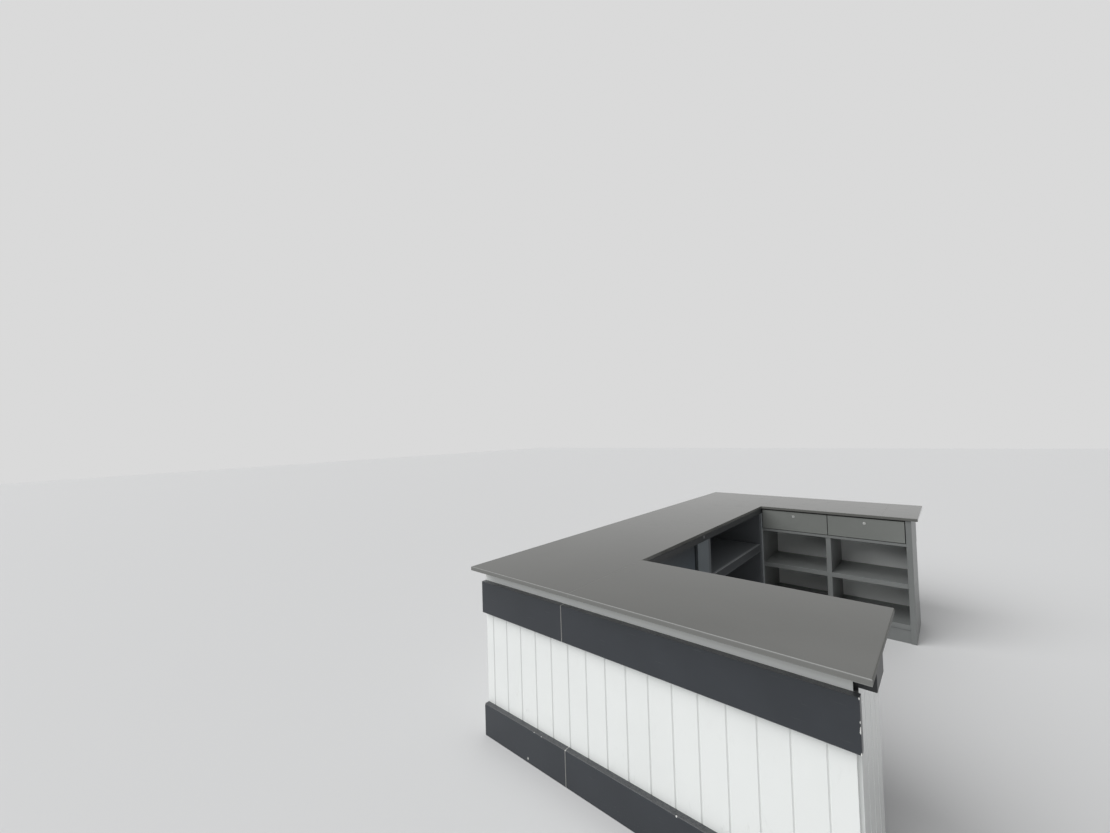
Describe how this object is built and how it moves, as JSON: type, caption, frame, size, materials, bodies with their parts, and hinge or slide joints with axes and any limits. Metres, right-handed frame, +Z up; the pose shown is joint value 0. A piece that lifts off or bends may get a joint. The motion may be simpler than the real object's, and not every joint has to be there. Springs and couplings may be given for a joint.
{
  "type": "u-shaped shop counter",
  "caption": "Free-standing U-shaped shop service counter with a stone worktop, grooved white walls, dark bands, open shelving and lockable sliding drawers on the staff side.",
  "frame": {"origin": "on the floor, in the middle of the worktop's outline", "axes": "+X to the right along the customers' front, +Y away from the customers, +Z up"},
  "size_m": [1.69, 3.22, 0.88],
  "materials": {
    "stone": "polished mid-grey stone with a fine speckle",
    "subtop": "dark board edge",
    "boarding": "gloss white, V-grooved",
    "band": "dark graphite satin laminate",
    "carcass": "pale grey melamine",
    "panel": "blue-grey laminate",
    "drawer_front": "grey-white melamine",
    "drawer_box": "pale melamine",
    "lock": "polished",
    "slide": "zinc plated",
    "button": "satin black"
  },
  "bodies": {
    "counter": {"back_board_side": "carcass", "bands_back": "band", "bottom_back": "carcass", "bottom_front": "carcass", "bottom_side": "carcass", "cupboard_panel_side": "panel", "divider_back": "carcass", "divider_front": "carcass", "drawer_board": "carcass", "drawer_divider": "carcass", "edge_button": "button", "end_panel_front": "boarding", "fascia_front_left": "band", "fascia_front_right": "band", "fixed_slides": "slide", "gable_back_left": "carcass", "gable_back_right": "carcass", "gables_front": "carcass", "gables_side": "carcass", "kick_front_left": "band", "kick_front_right": "band", "pilaster_side": "carcass", "plinth_back": "carcass", "plinth_front": "carcass", "plinth_side": "carcass", "shelf_side": "carcass", "shelves_back": "carcass", "shelves_front": "carcass", "subtop_back": "subtop", "subtop_front": "subtop", "subtop_side": "subtop", "wall_back": "boarding", "wall_front": "boarding", "wall_left": "boarding", "worktop_back": "stone", "worktop_back_end": "stone", "worktop_front": "stone", "worktop_side": "stone"},
    "drawer_left": {"drawer_left_box": "drawer_box", "drawer_left_front": "drawer_front", "drawer_left_lock": "lock", "drawer_left_slides": "slide"},
    "drawer_right": {"drawer_right_box": "drawer_box", "drawer_right_front": "drawer_front", "drawer_right_lock": "lock", "drawer_right_slides": "slide"}
  },
  "joints": [
    {"name": "drawer_left_slide", "type": "slide", "parent": "counter", "child": "drawer_left", "axis": [0, -1, 0], "range_m": [0, 0.27]},
    {"name": "drawer_right_slide", "type": "slide", "parent": "counter", "child": "drawer_right", "axis": [0, -1, 0], "range_m": [0, 0.27]}
  ]
}
